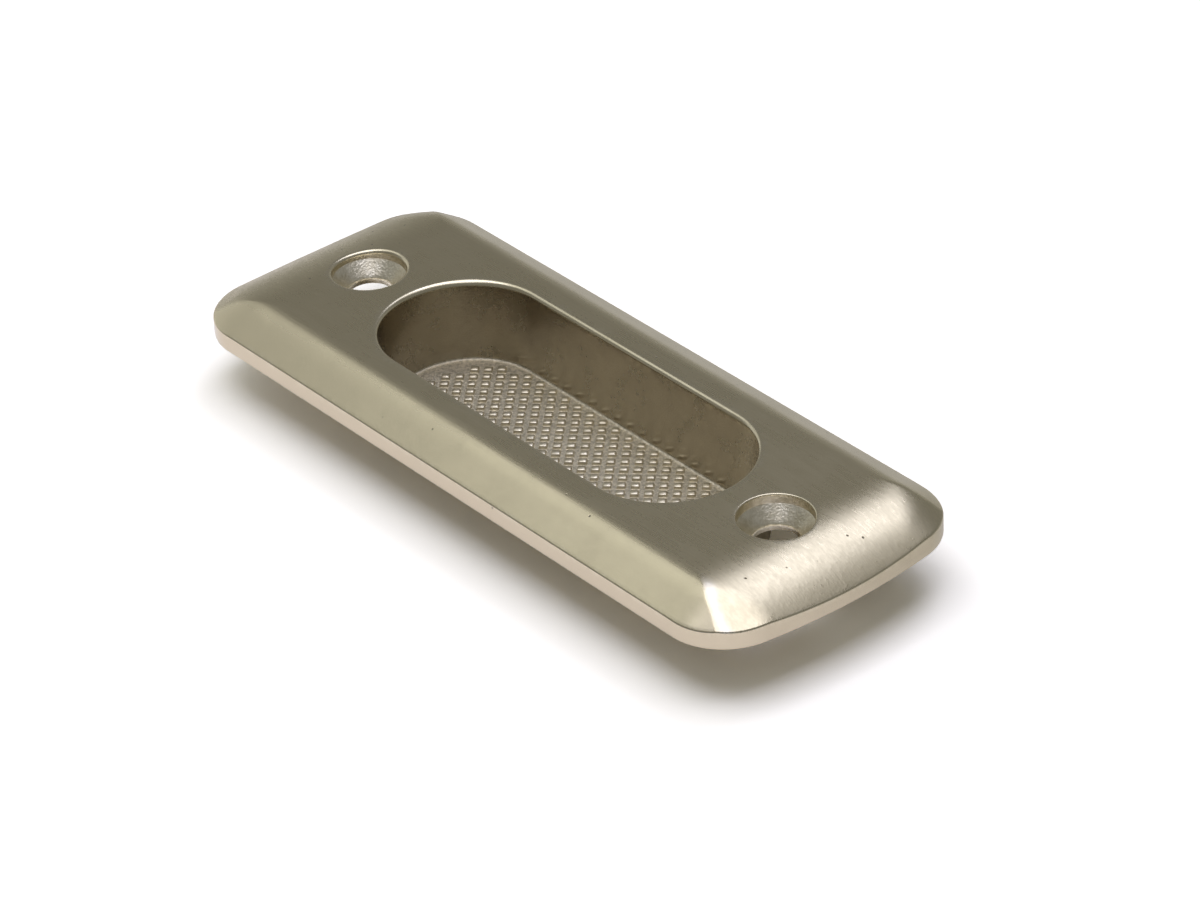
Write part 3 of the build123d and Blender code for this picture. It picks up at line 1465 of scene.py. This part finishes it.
    @staticmethod
    def _stud(wiring: Wiring, given: Any) -> bpy.types.NodeSocket:
        """Adds the nodes that make one stud, rooted one stud height below the floor.

        Args:
            wiring: The tree's wiring.
            given: Outputs of the tree's input node.

        Returns:
            The output that carries the stud.
        """
        block = wiring.add("GeometryNodeMeshCube", {
            "Size": (1, 1, 1), "Vertices X": 4, "Vertices Y": 4, "Vertices Z": 2,
        })
        axes = wiring.axes(wiring.add("GeometryNodeInputPosition").outputs[0])
        top = wiring.math("GREATER_THAN", axes[2], 0)
        taper = wiring.math("SUBTRACT", given["Top"], given["Base"])
        foot = wiring.math("SUBTRACT", given["Base"], taper)
        width = wiring.math("MULTIPLY_ADD", top, wiring.math("MULTIPLY", taper, 2), foot)
        # The two inner vertices of each row lie a sixth of the block's width from its middle
        inner_limit = 0.3
        sides = []
        inner = []
        for axis in (0, 1):
            near = wiring.math("LESS_THAN", wiring.math("ABSOLUTE", axes[axis]), inner_limit)
            border = wiring.math("MULTIPLY", near, given["Edge"])
            half = wiring.math("SUBTRACT", wiring.math("DIVIDE", width, 2), border)
            sides.append(wiring.math("MULTIPLY", wiring.math("SIGN", axes[axis]), half))
            inner.append(near)
        crown = wiring.math("SUBTRACT", 1, wiring.math("MULTIPLY", *inner))
        peak = wiring.math("SUBTRACT", given["Height"], wiring.math("MULTIPLY", crown, given["Dome"]))
        fall = wiring.math("MULTIPLY", given["Height"], -1)
        level = wiring.math("MULTIPLY_ADD", top, wiring.math("SUBTRACT", peak, fall), fall)
        shaped = wiring.add("GeometryNodeSetPosition", {
            "Geometry": block.outputs["Mesh"], "Position": wiring.vector(*sides, level),
        })
        return shaped.outputs[0]

    def build(self, material: bpy.types.Material) -> bpy.types.Object:
        """Makes the studs as one plain mesh.

        Args:
            material: Finish of the studs.

        Returns:
            The studs as an object at the origin.
        """
        maker = linked("stud_maker", bpy.data.meshes.new("stud_maker"))
        modifier = maker.modifiers.new("studs", "NODES")
        modifier.node_group = self._tree()
        lengths = {
            "Pitch": self.pitch, "Base": self.base, "Top": self.top, "Height": self.height,
            "Edge": self.edge, "Dome": self.dome, "Floor": self.cup.floor,
            "Field Length": self.field(self.cup.mouth_length, self.end_gap),
            "Field Width": self.field(self.cup.mouth_width, self.side_gap),
        }
        values = {name: length * MM for name, length in lengths.items()}
        values.update({"Unevenness": self.unevenness, "Seed": self.seed, "Material": material})
        for item in modifier.node_group.interface.items_tree:
            if item.in_out == "INPUT":
                modifier[item.identifier] = values[item.name]
        graph = bpy.context.evaluated_depsgraph_get()
        mesh = bpy.data.meshes.new_from_object(maker.evaluated_get(graph))
        mesh.name = "grip_studs"
        smooth(mesh, self.sharp_angle)
        maker.modifiers.remove(modifier)
        bpy.data.objects.remove(maker)
        LOG.info("grip_studs: %d faces", len(mesh.polygons))
        return linked("grip_studs", mesh)

    def dress(self, piece: bpy.types.Object) -> None:
        """Lets the studs ride with the casting."""
        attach(piece, BODY)


@dataclass(frozen=True)
class SoftLamp:
    """Large soft lamp that faces the object, or a target beside it."""

    name: str
    direction: tuple[float, float, float]
    distance: float
    size: tuple[float, float]
    radiance: float
    colour: Colour = (1.0, 1.0, 1.0)
    target: tuple[float, float, float] = (0.0, 0.0, 0.0)

    def build(self) -> None:
        """Adds the lamp."""
        data = bpy.data.lights.new(self.name, "AREA")
        data.shape = "RECTANGLE"
        data.size, data.size_y = self.size
        data.energy = self.radiance * pi * self.size[0] * self.size[1]
        data.color = self.colour
        lamp = linked(self.name, data)
        aim = Vector(self.direction).normalized()
        lamp.location = Vector(self.target) + aim * self.distance
        lamp.rotation_euler = aim.to_track_quat("Z", "Y").to_euler()


@dataclass(frozen=True)
class Studio:
    """Camera, white table, soft lamps and surroundings."""

    # Camera that was fitted to the photograph: place in millimetres, directions and focal length
    eye: tuple[float, float, float] = (364.775, -282.047, 298.220)
    right: tuple[float, float, float] = (0.64091584, 0.76614183, -0.04747195)
    down: tuple[float, float, float] = (0.39475064, -0.38200496, -0.83561004)
    focal_pixels: float = 5204.53
    image_width: int = 1200
    sensor: float = 36.0
    near_clip: float = 0.01
    # Table, with the places along Y between which the paper that the metal mirrors turns from near to far
    table_reach: float = 3.0
    table_turn: tuple[float, float] = (-0.025, 0.045)
    paper: Colour = (0.85, 0.84, 0.82)
    paper_in_view: Colour = (1.75, 1.71, 1.60)
    near_paper_in_metal: Colour = (1.4, 1.34, 1.34)
    far_paper_in_metal: Colour = (0.75, 0.74, 0.675)
    # Room: light in front and, behind the pull, low down and high up, with the directions between them
    room_front: Colour = (0.2, 0.2, 0.187)
    room_low: Colour = (0.38, 0.38, 0.36)
    room_high: Colour = (0.18, 0.18, 0.168)
    room_behind: tuple[float, float] = (-0.79, 0.62)
    room_turn: tuple[float, float] = (-0.6, 0.6)
    room_rise: tuple[float, float] = (-0.1, 0.55)
    lamps: tuple[SoftLamp, ...] = (
        SoftLamp("key_lamp", (-0.137, 0.528, 0.834), 0.7, (0.253, 0.30), 1.6, (0.97, 1.0, 1.24)),
        SoftLamp("side_lamp", (-0.48, 0, 0.877), 0.5, (0.30, 0.33), 0.74, (0.97, 1.0, 1.0), (0, -0.0975, 0)),
        SoftLamp("low_card", (-0.92, -0.1, 0.375), 0.6, (0.4, 0.37), 0.41, (0.97, 1.0, 1.0)),
        SoftLamp("top_lamp", (0.015, 0, 0.99), 0.9, (0.87, 0.70), 1.75, (1.0, 1.0, 1.15)),
    )

    def build(self) -> None:
        """Sets up the whole studio."""
        self._camera()
        self._table()
        self._surroundings()
        for lamp in self.lamps:
            lamp.build()
        bpy.context.scene.view_settings.view_transform = "Standard"

    def _camera(self) -> None:
        """Adds the camera at the photograph's viewpoint."""
        data = bpy.data.cameras.new("camera")
        data.sensor_fit = "HORIZONTAL"
        data.sensor_width = self.sensor
        data.lens = self.sensor * self.focal_pixels / self.image_width
        data.clip_start = self.near_clip
        camera = linked("camera", data)
        right, up = Vector(self.right), -Vector(self.down)
        turn = Matrix((right, up, right.cross(up))).transposed()
        camera.matrix_world = Matrix.Translation(Vector(self.eye) * MM) @ turn.to_4x4()
        bpy.context.scene.camera = camera

    def _table(self) -> None:
        """Adds the white table that the pull lies on."""
        mesh = bpy.data.meshes.new("table")
        work = bmesh.new()
        bmesh.ops.create_grid(work, x_segments=8, y_segments=8, size=self.table_reach)
        bmesh.ops.translate(work, verts=work.verts, vec=(0, 0, CAD_BOX[0].z))
        work.to_mesh(mesh)
        work.free()
        table = linked("table", mesh)
        material = bpy.data.materials.new("white_table")
        wiring = Wiring.fresh(material)
        path = wiring.add("ShaderNodeLightPath").outputs
        place = wiring.add("ShaderNodeTexCoord").outputs["Object"]
        away = wiring.ramp(wiring.axes(place)[1], *self.table_turn)
        seen = wiring.mix(away, (*self.near_paper_in_metal, 1), (*self.far_paper_in_metal, 1))
        mirrored = wiring.math("MAXIMUM", path["Is Glossy Ray"], path["Is Transmission Ray"])
        paper = wiring.add("ShaderNodeBsdfDiffuse", {"Color": (*self.paper, 1)})
        in_metal = wiring.add("ShaderNodeBsdfDiffuse", {"Color": seen})
        in_view = wiring.add("ShaderNodeBsdfDiffuse", {"Color": (*self.paper_in_view, 1)})
        both = wiring.add("ShaderNodeMixShader", {0: mirrored, 1: paper.outputs[0], 2: in_metal.outputs[0]})
        both = wiring.add("ShaderNodeMixShader", {
            0: path["Is Camera Ray"], 1: both.outputs[0], 2: in_view.outputs[0],
        })
        wiring.add("ShaderNodeOutputMaterial", {"Surface": both.outputs[0]})
        mesh.materials.append(material)

    def _surroundings(self) -> None:
        """Adds the room: brightest low down behind the pull, darker above and in front."""
        world = bpy.data.worlds.new("studio")
        wiring = Wiring.fresh(world)
        axes = wiring.axes(wiring.add("ShaderNodeTexCoord").outputs["Generated"])
        rise = wiring.ramp(axes[2], *self.room_rise)
        across = wiring.math("MULTIPLY", axes[0], self.room_behind[0])
        behind = wiring.math("MULTIPLY_ADD", axes[1], self.room_behind[1], across)
        behind = wiring.ramp(behind, *self.room_turn)
        low = wiring.mix(behind, (*self.room_front, 1), (*self.room_low, 1))
        high = wiring.mix(behind, (*self.room_front, 1), (*self.room_high, 1))
        shade = wiring.mix(rise, low, high)
        back = wiring.add("ShaderNodeBackground", {"Color": shade, "Strength": 1.0})
        wiring.add("ShaderNodeOutputWorld", {"Surface": back.outputs[0]})
        bpy.context.scene.world = world


def main() -> None:
    """Builds the studio, the casting and its studs in order."""
    logging.basicConfig(level=logging.INFO, format="%(name)s: %(message)s")
    Studio().build()
    effects = Effects()
    seats = (ScrewSeat(SCREW_PLACE, lip_radius=0.18), ScrewSeat(-SCREW_PLACE, lip_radius=0.5))
    cup = FingerCup()
    casting = Casting(Flange(), cup, seats)
    body = casting.build()
    casting.dress(body, effects)
    studs = GripStuds(cup)
    studs.dress(studs.build(STUD_FINISH.material(effects)))


if __name__ == "__main__":
    main()
